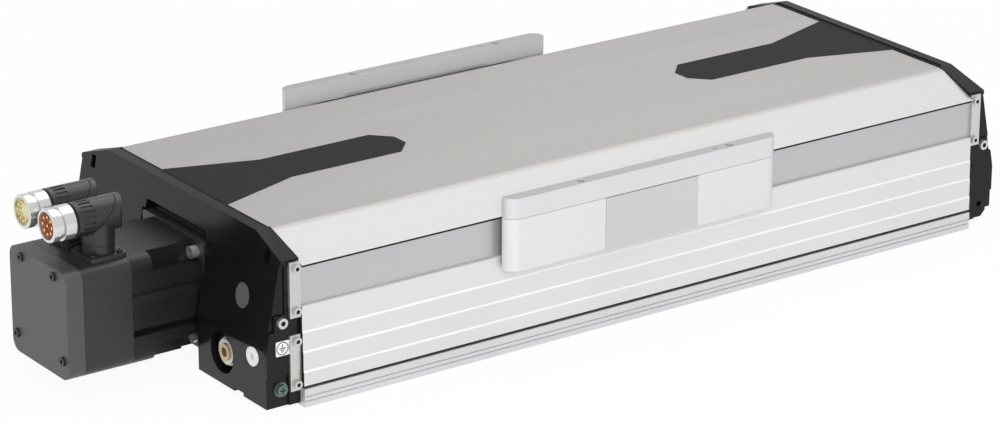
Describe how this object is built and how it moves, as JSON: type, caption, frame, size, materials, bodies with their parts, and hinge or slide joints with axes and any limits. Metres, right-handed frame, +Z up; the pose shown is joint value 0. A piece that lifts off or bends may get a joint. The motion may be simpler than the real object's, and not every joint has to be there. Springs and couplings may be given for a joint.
{
  "type": "ball screw linear module",
  "caption": "Enclosed ball screw linear module with two outer carriage wings, strip-sealed side slots and a square servo motor with two right-angle connectors.",
  "frame": {"origin": "centre of the base's bottom mounting face", "axes": "+X along the travel, from the motor end to the idle end; +Z up, away from the mounting face"},
  "size_m": [0.6846, 0.2714, 0.1213],
  "materials": {
    "anodised_base": "satin anodised extrusion",
    "anodised_panel": "bright satin anodised extrusion",
    "brushed_cover": "brushed along its length",
    "black_cap": "satin black coating",
    "strip_steel": "satin stainless strip",
    "black_panel": "matt film",
    "plated_steel": "zinc plated",
    "green_steel": "green tinted plating",
    "grey_plastic": "moulded",
    "brass": "turned",
    "white_plastic": "moulded",
    "hard_steel": "ground",
    "dark_steel": "blackened",
    "machined_aluminium": "milled",
    "black_rubber": "moulded",
    "motor_black": "satin black paint",
    "connector_black": "satin black coating",
    "connector_chrome": "polished",
    "red_insert": "moulded",
    "green_insert": "moulded",
    "gold_pins": "gold plated",
    "silver_wing": "satin anodised",
    "light_guide": "moulded, light grey",
    "coupling_alloy": "turned"
  },
  "bodies": {
    "frame": {"base_extrusion": "anodised_base", "near_side_panel": "anodised_panel", "far_side_panel": "anodised_panel", "top_cover": "brushed_cover", "front_end_cap": "black_cap", "rear_end_cap": "black_cap", "cap_screws": "plated_steel", "near_seal_strip": "strip_steel", "far_seal_strip": "strip_steel", "seal_clamps": "plated_steel", "panel_clamps": "plated_steel", "clamp_screws": "plated_steel", "end_decals": "black_panel", "side_screws": "plated_steel", "ground_screw": "green_steel", "round_plug": "grey_plastic", "air_fitting": "plated_steel", "air_fitting_collet": "brass", "lube_plug": "white_plastic", "near_rail": "hard_steel", "far_rail": "hard_steel", "rail_screws": "dark_steel", "motor_bracket": "machined_aluminium", "fixed_bearing_block": "machined_aluminium", "bearing_outer_rings": "hard_steel", "idle_bearing_block": "machined_aluminium", "bumpers": "black_rubber", "motor_flange": "motor_black", "motor_stator": "motor_black", "motor_housing": "motor_black", "motor_rear_cover": "motor_black", "motor_cover_screws": "dark_steel", "motor_flange_screws": "plated_steel", "connector_plates": "connector_black", "connector_plate_screws": "dark_steel"},
    "carriage": {"carriage_plate": "machined_aluminium", "rail_blocks": "hard_steel", "block_screws": "dark_steel", "nut_bracket": "machined_aluminium", "ball_nut": "hard_steel", "nut_screws": "dark_steel", "near_arm": "machined_aluminium", "far_arm": "machined_aluminium", "near_wing": "silver_wing", "far_wing": "silver_wing", "strip_guides": "light_guide"},
    "screw": {"ball_screw": "hard_steel", "lock_nut": "hard_steel", "bearing_inner_rings": "hard_steel", "bearing_balls": "hard_steel", "shaft_coupling": "coupling_alloy", "motor_rotor": "hard_steel"},
    "near_connector": {"near_connector_elbow": "connector_black", "near_connector_barrel": "connector_chrome", "near_connector_insert": "red_insert", "near_connector_pins": "gold_pins"},
    "far_connector": {"far_connector_elbow": "connector_black", "far_connector_barrel": "connector_chrome", "far_connector_insert": "green_insert", "far_connector_pins": "gold_pins"}
  },
  "joints": [
    {"name": "carriage_slide", "type": "slide", "parent": "frame", "child": "carriage", "axis": [1, 0, 0], "range_m": [-0.1335, 0.1665], "deforming": ["near_seal_strip", "far_seal_strip"]},
    {"name": "screw_spin", "type": "hinge", "parent": "frame", "child": "screw", "pos_m": [0, 0, 0.048], "axis": [1, 0, 0], "range_deg": [-3010, 2420]},
    {"name": "near_connector_swivel", "type": "hinge", "parent": "frame", "child": "near_connector", "pos_m": [-0.3515, -0.0154, 0.09], "axis": [0, 0, 1], "range_deg": [0, 180]},
    {"name": "far_connector_swivel", "type": "hinge", "parent": "frame", "child": "far_connector", "pos_m": [-0.3515, 0.0154, 0.09], "axis": [0, 0, 1], "range_deg": [-180, 0]}
  ],
  "couplings": [
    {"joint": "screw_spin", "follows": "carriage_slide", "rad_per_m": -314.16}
  ]
}
